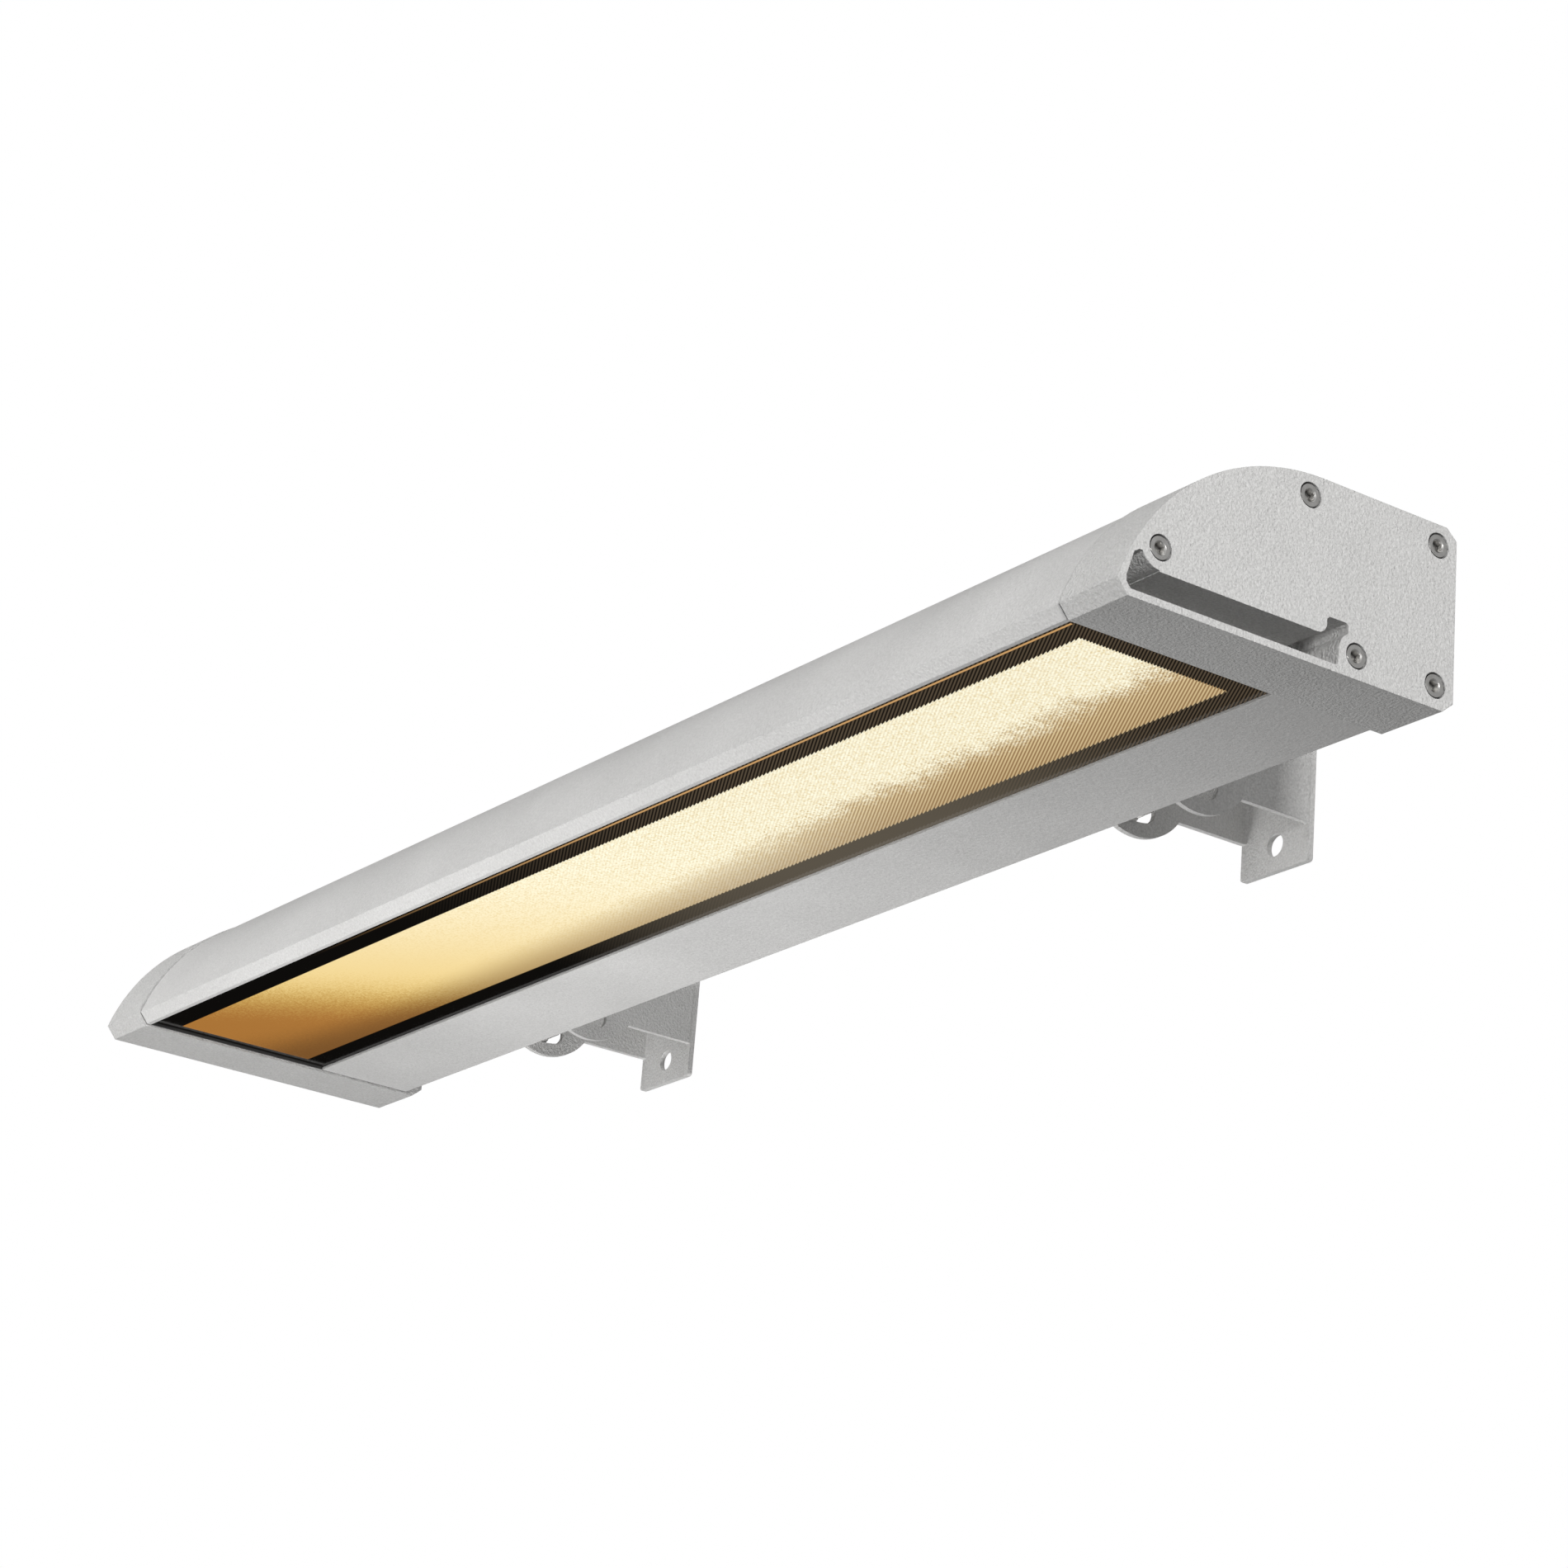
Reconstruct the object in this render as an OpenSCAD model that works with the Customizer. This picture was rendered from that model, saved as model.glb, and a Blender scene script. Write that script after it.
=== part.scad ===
// Outdoor wall washer light: an extruded lamp head that tilts between two wall brackets.
// All sizes are in millimetres. X runs along the lamp, +Y points into the wall and +Z is up.
// The origin lies on the wall, in the middle of the four wall holes and at the height of the pivot.
// The lamp's cross-section is drawn as depth from the sharp front edge and height above the underside.

/* [Lamp head] */
// Length of the lamp head over both end caps
lamp_l = 736; // [620:1:1100]
// Distance of the lamp's middle to the right of the brackets' middle
lamp_shift = 35; // [-40:1:40]
// Depth of the lamp head behind the visible glass
rear_d = 54.6; // [50:0.1:70]
// Height of the lamp head above the underside of the lamp shelf
upper_h = 30.2; // [29:0.1:40]
// Radius of the curved front
front_r = 94; // [92:0.5:100]
// Reach of the curved front's lower end in front of the sharp edge
nose_out = 4.7; // [4.4:0.1:6]
// Run of the chamfer under the nose
nose_run = 4.3; // [3:0.1:6]
// Rise of the chamfer under the nose
nose_rise = 5; // [4:0.1:7]
// Run of the two chamfers at the back
back_run = 4.8; // [2:0.1:6]
// Rise of the two chamfers at the back
back_rise = 4; // [2:0.1:6]

/* [Extruded case] */
// Wall of the extrusion
wall = 2.6; // [2.2:0.1:3]
// Step from an end cap down to the extrusion's curved front and top
skin_step = 0.6; // [0.3:0.1:1]
// Step from an end cap's underside up to the extrusion's underside
floor_step = 0.9; // [0.5:0.1:1.2]
// Step from an end cap's back to the extrusion's back
back_step = 4; // [2:0.1:5]
// Height of the lamp shelf above the underside
shelf_h = 40; // [38.5:0.1:41]
// Thickness of the lamp shelf
shelf_t = 3; // [2:0.1:3.5]
// Thickness of the rib behind the glass
rib_t = 2.8; // [2:0.1:3.2]
// Radius of a screw port
port_r = 4.6; // [4:0.1:5]
// Width of the web that carries a screw port
port_web = 4; // [3:0.1:5]
// Opening of the mounting groove in the back
groove_w = 6.8; // [6.6:0.1:7.4]
// Inner height of the mounting groove
groove_in_h = 12; // [11:0.1:13]
// Inner depth of the mounting groove
groove_in_d = 5.6; // [5.2:0.1:6.2]

/* [Glass] */
// Thickness of the glass
glass_t = 5; // [4:0.1:6]
// Visible start of the glass, from the sharp front edge
glass_s = 2; // [1.8:0.1:3]
// Visible width of the glass
glass_w = 90.4; // [86:0.1:91]
// Width of glass held behind each lip
glass_bite = 1.1; // [0.8:0.1:1.3]
// Thickness of the lips that hold the glass
lip_t = 1.2; // [1:0.1:1.6]
// Thickness of the seal above the glass
seal_t = 1; // [0.6:0.1:1.5]
// Width of the ledge above the seal
ledge_w = 7; // [5:0.1:9]
// Thickness of the ledge above the seal
ledge_t = 2; // [1.5:0.1:3]

/* [End caps] */
// Thickness of an end cap along the lamp
cap_t = 31; // [28:0.5:38]
// Thickness of an end cap's outer plate
cap_plate = 6.4; // [6:0.1:8]
// Wall of an end cap around its hollow
cap_wall = 3.2; // [2.5:0.1:4]
// Thickness of the seal between an end cap and the extrusion
end_seal_t = 1; // [0.5:0.1:1.5]
// Wall between the pocket and the nose
pocket_wall = 2.7; // [2.4:0.1:3.2]
// Height of the pocket's floor above the underside
pocket_floor = 2.8; // [2.2:0.1:3.4]
// Height of the pocket's ceiling above the underside
pocket_top = 12.5; // [11.5:0.1:13.5]
// Depth of the pocket along the lamp
pocket_l = 25; // [20:0.5:26]
// Distance from the low screw to the far side of the pocket's raised end
raised_in = 13.9; // [13.5:0.1:16]
// Width of the pocket's raised end
raised_w = 9.8; // [8:0.1:10.5]
// Height of the raised end's ceiling above the underside
raised_top = 19.5; // [18:0.1:21]
// Radius of the material left round the two screws at the pocket
boss_r = 8.3; // [7.8:0.1:8.6]

/* [Cap screws] */
// Diameter of a cap screw's head
head_d = 8.5; // [8:0.1:8.8]
// Height of a cap screw's head
head_h = 5; // [4.5:0.1:5.2]
// Diameter of a cap screw's shank
shank_d = 5; // [4:0.1:5.2]
// Length of a cap screw under its head
screw_l = 40; // [36:1:46]
// Width across the flats of the hexagon socket
socket_af = 4; // [3.5:0.1:4.5]
// Depth of the hexagon socket
socket_h = 2.8; // [2:0.1:3.2]
// Diameter of a screw's counterbore
bore_d = 9.7; // [9.4:0.1:10.4]
// Distance of the upper screws below the top
screw_from_top = 8.1; // [7.8:0.1:9]
// Distance of the lower screws above the underside
screw_from_floor = 8.7; // [8.4:0.1:9.5]
// Distance of the back screws from the back
screw_from_back = 8.6; // [8.4:0.1:9.5]
// Distance of the front screw inside the curved front
screw_from_front = 9.3; // [9:0.1:10.5]
// Distance of the top screw in front of the crown
top_screw_in = 6.5; // [3:0.1:9]
// Distance of the low screw behind the visible glass
low_screw_in = 9.3; // [9:0.1:11]

/* [Wall brackets] */
// Distance from an end of the lamp to the middle of a bracket, with the lamp centred
bracket_in = 151.7; // [110:0.1:200]
// Distance of the pivot from the wall
pivot_to_wall = 58.5; // [56:0.5:70]
// Distance of the pivot from the back of the extrusion
pivot_to_case = 29.5; // [29:0.1:34]
// Height of the pivot above the lamp's underside
pivot_h = 39.3; // [36:0.1:42]
// Outer width of a wall bracket
bracket_w = 40; // [38:0.5:46]
// Thickness of a wall bracket's sheet
sheet_t = 2.5; // [2:0.1:3]
// Radius of the round ends of the cheeks
lobe_r = 25.6; // [24.5:0.1:26.5]
// Height of the cheeks' necks
neck_h = 28.2; // [24:0.1:32]
// Height of the wall plate
plate_h = 59.4; // [58:0.1:70]
// Radius of the wall plate's corners
plate_r = 1.5; // [1:0.1:4]
// Distance between a bracket's two wall holes
hole_pitch = 37.2; // [36:0.1:42]
// Diameter of a wall hole
hole_d = 9.5; // [8:0.1:10]
// Inner radius of the bends in the sheets
bend_r = 1.2; // [0.8:0.1:1.6]

/* [Tilt] */
// Radius of the locking slot's middle line
slot_r = 14.5; // [14:0.1:15]
// Width of the locking slot
slot_w = 10.2; // [9:0.1:10.6]
// Angle that the lamp can tip its front down
tip_down = 32; // [20:1:36]
// Angle that the lamp can tip its front up
tip_up = 90; // [45:1:90]
// Angle of the locking bolt below the lamp's level line
lock_angle = 102; // [95:1:110]

/* [Hinge plates] */
// Thickness of a hinge plate's sheet
hinge_t = 3; // [2.5:0.1:3.5]
// Height of a hinge plate
hinge_h = 22; // [20:0.5:24]
// Radius of the ears round the pivot
ear_r = 9.5; // [8.5:0.1:10]
// Radius of the lug round the locking bolt
lug_r = 5.2; // [5:0.1:6]
// Thickness of the friction rings beside the ears
ring_t = 0.8; // [0.5:0.1:1.2]
// Radius of the friction rings
ring_r = 8.6; // [8.2:0.1:9]
// Distance between a hinge plate's two screws
hinge_screw_pitch = 15; // [14:0.1:15.6]

/* [Pivot and locking bolts] */
// Diameter of the pivot bolt
pivot_d = 8; // [7:0.1:8.4]
// Width across the flats of the pivot bolt's head and nut
pivot_af = 13; // [12:0.1:14]
// Height of the pivot bolt's head
pivot_head_h = 5.3; // [4.5:0.1:6]
// Height of the pivot bolt's nut
pivot_nut_h = 8; // [6:0.1:9]
// Radius of the pivot bolt's washers
pivot_washer_r = 8; // [7.6:0.1:8.6]
// Diameter of the locking bolt
lock_d = 6; // [5:0.1:6.2]
// Width across the flats of the locking bolt's head and nut
lock_af = 10; // [8:0.1:10.5]
// Height of the locking bolt's head
lock_head_h = 4; // [3.5:0.1:4.4]
// Height of the locking bolt's nut
lock_nut_h = 6; // [5:0.1:7]
// Radius of the locking bolt's washer
lock_washer_r = 6.4; // [6:0.1:6.8]
// Thickness of the flat washers
washer_t = 1.6; // [1:0.1:2]
// Length of the locking bolt outside the cheek
lock_out = 13; // [11:0.5:18]

/* [Groove screws] */
// Diameter of a groove screw
groove_screw_d = 6; // [5:0.1:6.2]
// Diameter of a groove screw's head
groove_head_d = 10; // [9:0.1:10.4]
// Height of a groove screw's head
groove_head_h = 6; // [4:0.1:6.2]
// Length of a groove nut along the lamp
groove_nut_l = 13; // [11:0.5:14]
// Thickness of a groove nut
groove_nut_t = 4.4; // [4:0.1:4.8]

/* [Optics] */
// Number of lamp boards in a row
board_count = 3; // [2:1:4]
// Lamps on each board
led_count = 8; // [4:1:10]
// Width of a lamp board
board_w = 30; // [26:0.5:32]
// Thickness of a lamp board
board_t = 1.6; // [1:0.1:2]
// Gap between neighbouring lamp boards and at their ends
board_gap = 6; // [4:0.5:10]
// Depth of the middle of the lamp boards
board_s = 45; // [43:0.5:46]
// Side of a lamp chip
led_w = 3.5; // [2.5:0.1:4]
// Height of a lamp chip
led_h = 0.9; // [0.6:0.1:1.2]
// Width of the lens bar at the boards
lens_top_w = 14; // [12:0.5:15]
// Width of the lens bar's face
lens_face_w = 22; // [18:0.5:24]
// Height of a lens bar
lens_h = 9; // [7:0.5:10]
// Height of a lens bar's feet
lens_foot_h = 1.2; // [1:0.1:1.5]
// Thickness of the reflector sheets
reflector_t = 1; // [0.8:0.1:1.5]
// Width of the rear reflector's top flange
flange_w = 8; // [6:0.5:10]
// Space between the front reflector's flange and the curved front
flange_clear = 0.8; // [0.5:0.1:2]

/* [Power supply] */
// Length of the power supply
driver_l = 190; // [150:1:220]
// Space between the power supply and the top screw's port
driver_clear = 9; // [4:0.1:12]
// Space between the power supply and the top of the case
driver_top_clear = 3.5; // [2:0.1:6]
// Thickness of the tray under the power supply
tray_t = 1.5; // [1:0.1:2]
// Length of the tray beyond each end of the power supply
tray_lip = 12; // [10:0.5:16]
// Distance of the power supply from the left end of the extrusion
driver_in = 110; // [90:1:140]
// Diameter of the tray screws
tray_screw_d = 4; // [3:0.1:4.5]
// Length of the terminal block
terminal_l = 32; // [26:1:40]
// Space between the terminal block and the screw ports on both sides
terminal_clear = 2.7; // [1.5:0.1:4]
// Height of the terminal block
terminal_h = 17; // [14:0.5:20]
// Distance of the terminal block from the left end of the extrusion
terminal_in = 20; // [12:1:40]
// Diameter of the inner leads
lead_d = 5; // [4:0.1:6]
// Bend radius of the inner leads
lead_bend = 8; // [7:0.5:8.5]

/* [Cable gland] */
// Distance of the gland from the back of the end cap
gland_in = 35; // [31:0.5:39]
// Height of the gland above the underside
gland_h = 34; // [32:0.5:38]
// Diameter of the gland's thread
gland_d = 20; // [18:0.5:20.5]
// Width across the flats of the gland's body, nut and ring nut
gland_af = 24; // [23:0.5:26]
// Height of the gland's hexagonal flange
gland_flange_h = 6; // [5:0.5:8]
// Height of the gland's dome nut
gland_nut_h = 14; // [12:0.5:18]
// Thickness of the ring nut inside the cap
ring_nut_t = 4; // [3:0.5:5]
// Diameter of the hole for the cable
cable_d = 9; // [7:0.1:10]

/* [Hidden] */
$fn = 72;
eps = 0.2 * wall;
air = skin_step / 2;
tight = air / 3;
running = air / 6;
knee_share = 0.22;
socket_mouth_share = 1.35;
hex_key_share = 0.9;
gland_neck_share = 0.9;
gland_bore_share = 0.72;
gland_seal_share = 0.8;
gland_round_share = 0.3;
gland_crown_share = 0.8;

case_d = glass_s + glass_w + rear_d;
case_h = shelf_h + upper_h;
case_x0 = lamp_shift - lamp_l / 2 + cap_t + end_seal_t;
case_l = lamp_l - 2 * (cap_t + end_seal_t);
back_s = case_d - back_step;
section_y = -(pivot_to_wall + pivot_to_case + back_s);
section_z = -pivot_h;
pivot_s = back_s + pivot_to_case;
floor_h = floor_step;
roof_h = case_h - skin_step;

glass_h = floor_h + lip_t + tight;
seal_h = glass_h + glass_t;
ledge_h = seal_h + seal_t;
glass_end_s = glass_s + glass_w;
rib_s = glass_end_s + glass_bite;
board_h = shelf_h - board_t;
board_l = (case_l - (board_count + 1) * board_gap) / board_count;
led_pitch = board_l / led_count;
lens_clear = led_h + lens_foot_h + tight;

crown_h = case_h - front_r;
// Depth at which the curved front runs out into the flat top
crown_s = sqrt(front_r * front_r - (nose_rise - crown_h) * (nose_rise - crown_h)) - nose_out;
front_screw_turn_share = 0.821;
front_screw_turn = 180 * front_screw_turn_share;
front_screw_r = front_r - screw_from_front;
screw_bore_h = head_h + air;
top_screw_s = crown_s - top_screw_in;
low_screw_s = glass_end_s + low_screw_in;
raised_s = low_screw_s - raised_in;
gland_s = case_d - gland_in;
// Each cap screw: depth, height, and the way its port's web points.
cap_screws = [
    [top_screw_s, case_h - screw_from_top, 90],
    [crown_s + front_screw_r * cos(front_screw_turn),
     crown_h + front_screw_r * sin(front_screw_turn),
     front_screw_turn],
    [case_d - screw_from_back, case_h - screw_from_top, 45],
    [low_screw_s, screw_from_floor, -90],
    [case_d - screw_from_back, screw_from_floor, -45]];

bracket_pitch = lamp_l - 2 * bracket_in;
ear_x = bracket_w / 2 - sheet_t - ring_t;
cheek_x = bracket_w / 2;
slot_half = slot_w / 2;
gland_neck_r = gland_d / 2 * gland_neck_share;
gland_bore_r = gland_d / 2 * gland_bore_share;
// How far the bolt may pass the slot's end centre, as an angle at the pivot.
slot_play = 2 * asin((slot_half - lock_d / 2) / (2 * slot_r));
slot_from = -lock_angle - tip_up + slot_play / 2;
slot_to = -lock_angle + tip_down - slot_play / 2;
lock_s = slot_r * cos(lock_angle);
lock_h = -slot_r * sin(lock_angle);
driver_s = top_screw_s + port_r + driver_clear;
driver_h = roof_h - wall - driver_top_clear - shelf_h - shelf_t - tray_t;
driver_w = back_s - 2 * wall - groove_in_d - 2 * air - driver_s;
driver_x = case_x0 + driver_in;
terminal_x = case_x0 + terminal_in;
terminal_s = low_screw_s + port_r + terminal_clear;
terminal_w = case_d - screw_from_back - port_r - terminal_clear - terminal_s;

// Places a cross-section so that it runs along the lamp from x.
module along(x, l) {
    translate([x, section_y, section_z])
        rotate([90, 0, 90])
            linear_extrude(l)
                children();
}

// Places what is drawn with its outer face at x = 0 and its inside at -x on the left or right end.
module on_end(side) {
    translate([lamp_shift + side * lamp_l / 2, 0, 0])
        mirror([side > 0 ? 0 : 1, 0, 0])
            children();
}

// A round bar along X that starts at x, at a depth and height of the cross-section.
module bar(x, l, s, h, r) {
    translate([x, section_y + s, section_z + h])
        rotate([0, 90, 0])
            cylinder(r = r, h = l);
}

// A hexagonal bar along X, by its width across the flats.
module hex_bar(x, l, s, h, af) {
    translate([x, section_y + s, section_z + h])
        rotate([0, 90, 0])
            cylinder(d = af / cos(30), h = l, $fn = 6);
}

// Depth at which a line parallel to the nose chamfer, moved in by t, is at height h.
function nose_s(t, h) =
    t * (norm([nose_run, nose_rise]) - nose_run) / nose_rise + (t - h) * nose_run / nose_rise;

// Depth of the extrusion's inner side in the curved front at height h.
function front_inner_s(h) =
    crown_s - sqrt((front_r - skin_step - wall) * (front_r - skin_step - wall) - (h - crown_h) * (h - crown_h));

// The lamp's outline, moved in by t at the front and top, and by its own steps below and behind.
module outline(t, floor_in, back_in) {
    back = case_d - back_in;
    top = case_h - t;
    intersection() {
        union() {
            translate([crown_s, crown_h]) circle(r = front_r - t, $fn = 180);
            translate([crown_s, crown_h]) square([back - crown_s, front_r - t]);
        }
        polygon([
            [nose_s(t, floor_in), floor_in],
            [nose_s(t, floor_in + 4 * nose_rise), floor_in + 4 * nose_rise],
            [nose_s(t, floor_in + 4 * nose_rise), top],
            [back - back_run, top],
            [back, top - back_rise],
            [back, floor_in + back_rise],
            [back - back_run, floor_in]]);
    }
}

module case_outline() {
    outline(skin_step, floor_step, back_step);
}

module case_cavity() {
    outline(skin_step + wall, floor_step + wall, back_step + wall);
}

module port_webs() {
    for (p = cap_screws)
        translate([p[0], p[1]]) {
            circle(r = port_r);
            rotate(p[2])
                translate([0, -port_web / 2])
                    square([2 * port_r + wall, port_web]);
        }
}

// Groove in the back: its box stands inside the wall, its mouth opens to the back.
module groove_box() {
    depth = groove_in_d + 2 * wall;
    height = groove_in_h + 2 * wall;
    translate([back_s - depth, pivot_h - height / 2]) square([depth, height]);
}

module groove_hollow() {
    translate([back_s - wall - groove_in_d, pivot_h - groove_in_h / 2])
        square([groove_in_d, groove_in_h]);
    translate([back_s - wall - eps, pivot_h - groove_w / 2])
        square([wall + 2 * eps, groove_w]);
}

module glass_way() {
    // Channel of the glass and its seal
    translate([glass_s - glass_bite - air, floor_h + lip_t])
        square([glass_w + 2 * (glass_bite + air), ledge_h - floor_h - lip_t]);
    // Light opening between the lips
    translate([glass_s, floor_h - eps])
        square([glass_w, lip_t + 2 * eps]);
    // Light opening between the ledges
    translate([glass_s + ledge_w, ledge_h - eps])
        square([glass_w - 2 * ledge_w, ledge_t + 2 * eps]);
}

module case_section() {
    difference() {
        intersection() {
            case_outline();
            union() {
                difference() {
                    case_outline();
                    case_cavity();
                }
                // Nose with the front ledge
                translate([-case_h, 0]) square([case_h + glass_s + ledge_w, ledge_h + ledge_t]);
                // Rear ledge and the rib up to the shelf
                translate([glass_end_s - ledge_w, floor_h])
                    square([ledge_w + glass_bite + rib_t, ledge_h + ledge_t - floor_h]);
                translate([rib_s + air, floor_h])
                    square([rib_t, shelf_h + shelf_t - floor_h]);
                // Shelf from the curved front to the groove
                translate([0, shelf_h]) square([back_s - wall - groove_in_d, shelf_t]);
                groove_box();
                port_webs();
            }
        }
        glass_way();
        groove_hollow();
        for (p = cap_screws) translate([p[0], p[1]]) circle(r = shank_d / 2 + tight);
    }
}

module case() {
    color("gainsboro")
        difference() {
            along(case_x0, case_l) case_section();
            // Holes of the tray screws and of the lead to the lamps
            for (p = tray_screw_places())
                translate([p[0], section_y + p[1], section_z + shelf_h - eps])
                    cylinder(d = tray_screw_d + 2 * tight, h = shelf_t + 2 * eps);
            translate([lead_x(), section_y + lead_down_s(), section_z + shelf_h - eps])
                cylinder(d = lead_d + 2 * air, h = shelf_t + 2 * eps);
        }
}

// The open pocket in an end cap's outer face, grown by g.
module pocket_section(g) {
    right = raised_s + raised_w + g;
    low_edge = low_screw_s - boss_r + g;
    low = pocket_floor - g;
    roof = pocket_top + g;
    fillet = nose_run;
    difference() {
        union() {
            polygon([
                [nose_s(pocket_wall, low) - g, low],
                [nose_s(pocket_wall, nose_rise) - g, nose_rise],
                [nose_s(pocket_wall, nose_rise) - g, pocket_floor + nose_rise],
                [cap_screws[1][0] - front_run() - g, raised_top - nose_run * 2 / 3 + g],
                [cap_screws[1][0] - front_run() + nose_run / 2, raised_top - nose_run / 3 + g],
                [cap_screws[1][0], raised_top - nose_run / 3 + g],
                [cap_screws[1][0], roof],
                [raised_s - fillet - g, roof],
                [raised_s - g, roof],
                [raised_s - g, raised_top - fillet / 4 + g],
                [raised_s + fillet / 4 - g, raised_top + g],
                [right - fillet / 4, raised_top + g],
                [right, raised_top - fillet / 4 + g],
                [right, screw_from_floor],
                [low_edge, screw_from_floor],
                [low_edge, low + fillet / 4],
                [low_edge - fillet / 4, low]]);
            // The corner under the raised end is rounded
            difference() {
                translate([raised_s - fillet - g, roof - eps]) square([fillet, fillet + eps]);
                translate([raised_s - fillet - g, roof + fillet]) circle(r = fillet);
            }
        }
        translate([cap_screws[1][0], cap_screws[1][1]]) circle(r = boss_r - g);
        translate([cap_screws[3][0], cap_screws[3][1]]) circle(r = boss_r - g);
    }
}

// Run from the front screw to the tip of the pocket beside it.
function front_run() = boss_r + nose_run * 2 / 3;

// The hollow on the inner side of an end cap, open to the extrusion.
module cap_hollow_section() {
    difference() {
        outline(cap_wall, cap_wall, cap_wall);
        pocket_section(cap_wall);
        square([glass_end_s, ledge_h + ledge_t + end_seal_t]);
        for (i = [0 : len(cap_screws) - 1])
            translate([cap_screws[i][0], cap_screws[i][1]]) {
                // The two bosses beside the pocket are full ones
                circle(r = i == 1 || i == 3 ? boss_r : bore_d / 2 + end_seal_t);
                rotate(cap_screws[i][2])
                    translate([0, -port_web / 2])
                        square([2 * bore_d, port_web]);
            }
    }
}

module end_cap(side) {
    on_end(side)
        difference() {
            along(-cap_t, cap_t) outline(0, 0, 0);
            along(-pocket_l, pocket_l + eps) pocket_section(0);
            along(-cap_t - eps, cap_t - cap_plate + eps) cap_hollow_section();
            for (p = cap_screws) {
                bar(-cap_t - eps, cap_t + 2 * eps, p[0], p[1], shank_d / 2 + air);
                bar(-screw_bore_h, screw_bore_h + eps, p[0], p[1], bore_d / 2);
            }
            if (side < 0)
                bar(-cap_plate - eps, cap_plate + 2 * eps, gland_s, gland_h, gland_d / 2 + air);
        }
}

module end_cap_left() {
    color("lightgray") end_cap(-1);
}

module end_cap_right() {
    color("lightgray") end_cap(1);
}

// Flat seal between an end cap and the cut end of the extrusion
module end_seal(side) {
    on_end(side)
        along(-cap_t - end_seal_t, end_seal_t)
            difference() {
                intersection() {
                    outline(skin_step + air, floor_step + air, back_step + air);
                    union() {
                        difference() {
                            outline(0, 0, 0);
                            outline(skin_step + 2 * wall, floor_step + 2 * wall, back_step + 2 * wall);
                        }
                        square([rib_s + rib_t, ledge_h + ledge_t]);
                        for (p = cap_screws) translate([p[0], p[1]]) circle(r = port_r);
                    }
                }
                for (p = cap_screws) translate([p[0], p[1]]) circle(r = shank_d / 2 + air);
            }
}

module end_seal_left() {
    color("dimgray") end_seal(-1);
}

module end_seal_right() {
    color("dimgray") end_seal(1);
}

module cap_screw(s, h) {
    difference() {
        union() {
            bar(-screw_bore_h, head_h, s, h, head_d / 2);
            bar(-screw_bore_h - screw_l, screw_l + eps, s, h, shank_d / 2);
        }
        hex_bar(-air - socket_h, socket_h + 2 * air, s, h, socket_af);
        // Lead-in of the socket
        translate([-air - socket_af / 6, section_y + s, section_z + h])
            rotate([0, 90, 0])
                cylinder(d1 = socket_af, d2 = socket_af * socket_mouth_share, h = socket_af / 6 + tight);
    }
}

module cap_screws_left() {
    color("silver") on_end(-1) for (p = cap_screws) cap_screw(p[0], p[1]);
}

module cap_screws_right() {
    color("silver") on_end(1) for (p = cap_screws) cap_screw(p[0], p[1]);
}

module glass() {
    color("darkkhaki", 0.6)
        along(case_x0 + air, case_l - 2 * air)
            translate([glass_s - glass_bite, glass_h])
                square([glass_w + 2 * glass_bite, glass_t]);
}

module glass_seal() {
    color("black")
        translate([0, section_y, section_z + seal_h])
            difference() {
                translate([case_x0 + air, glass_s - glass_bite, 0])
                    cube([case_l - 2 * air, glass_w + 2 * glass_bite, seal_t]);
                translate([case_x0 + ledge_w, glass_s + ledge_w, -eps])
                    cube([case_l - 2 * ledge_w, glass_w - 2 * ledge_w, seal_t + 2 * eps]);
            }
}

// A bent reflector sheet: foot, knee and head are points of its inner side.
// Its flange lies under the shelf.
module reflector(foot, knee, head, side, flange) {
    t = [reflector_t, 0];
    under = [0, -reflector_t];
    along(case_x0 + board_gap, case_l - 2 * board_gap)
        polygon([
            foot - t / 2,
            knee - t / 2,
            head + under - t / 2,
            if (side < 0) head + under - [flange, 0],
            if (side < 0) head - [flange, 0],
            if (side > 0) head - t / 2,
            if (side > 0) head + [flange, 0],
            if (side > 0) head + under + [flange, 0],
            if (side < 0) head + t / 2,
            head + under + t / 2,
            knee + t / 2,
            foot + t / 2]);
}

module reflector_front() {
    foot = [glass_s + ledge_w - reflector_t, ledge_h + ledge_t];
    head = [board_s - board_w / 2 - reflector_t, shelf_h];
    knee_h = foot[1] + (head[1] - foot[1]) * knee_share;
    knee = [cap_screws[1][0] + port_r + reflector_t, knee_h];
    flange = head[0] - front_inner_s(shelf_h) - flange_clear;
    color("whitesmoke") reflector(foot, knee, head, -1, flange);
}

module reflector_rear() {
    foot = [glass_end_s - ledge_w + reflector_t, ledge_h + ledge_t];
    head = [board_s + board_w / 2 + reflector_t, shelf_h];
    knee = (foot + head) / 2 + [reflector_t, 0];
    color("whitesmoke") reflector(foot, knee, head, 1, flange_w);
}

// Left end of lamp board i.
function board_x(i) = case_x0 + board_gap + i * (board_l + board_gap);

module lamp_boards() {
    color("white")
        for (i = [0 : board_count - 1])
            along(board_x(i), board_l)
                translate([board_s - board_w / 2, board_h])
                    square([board_w, board_t]);
}

module lamp_chips() {
    color("gold")
        for (i = [0 : board_count - 1], k = [0 : led_count - 1])
            along(board_x(i) + (k + 0.5) * led_pitch - led_w / 2, led_w)
                translate([board_s - led_w / 2, board_h - led_h])
                    square([led_w, led_h]);
}

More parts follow.
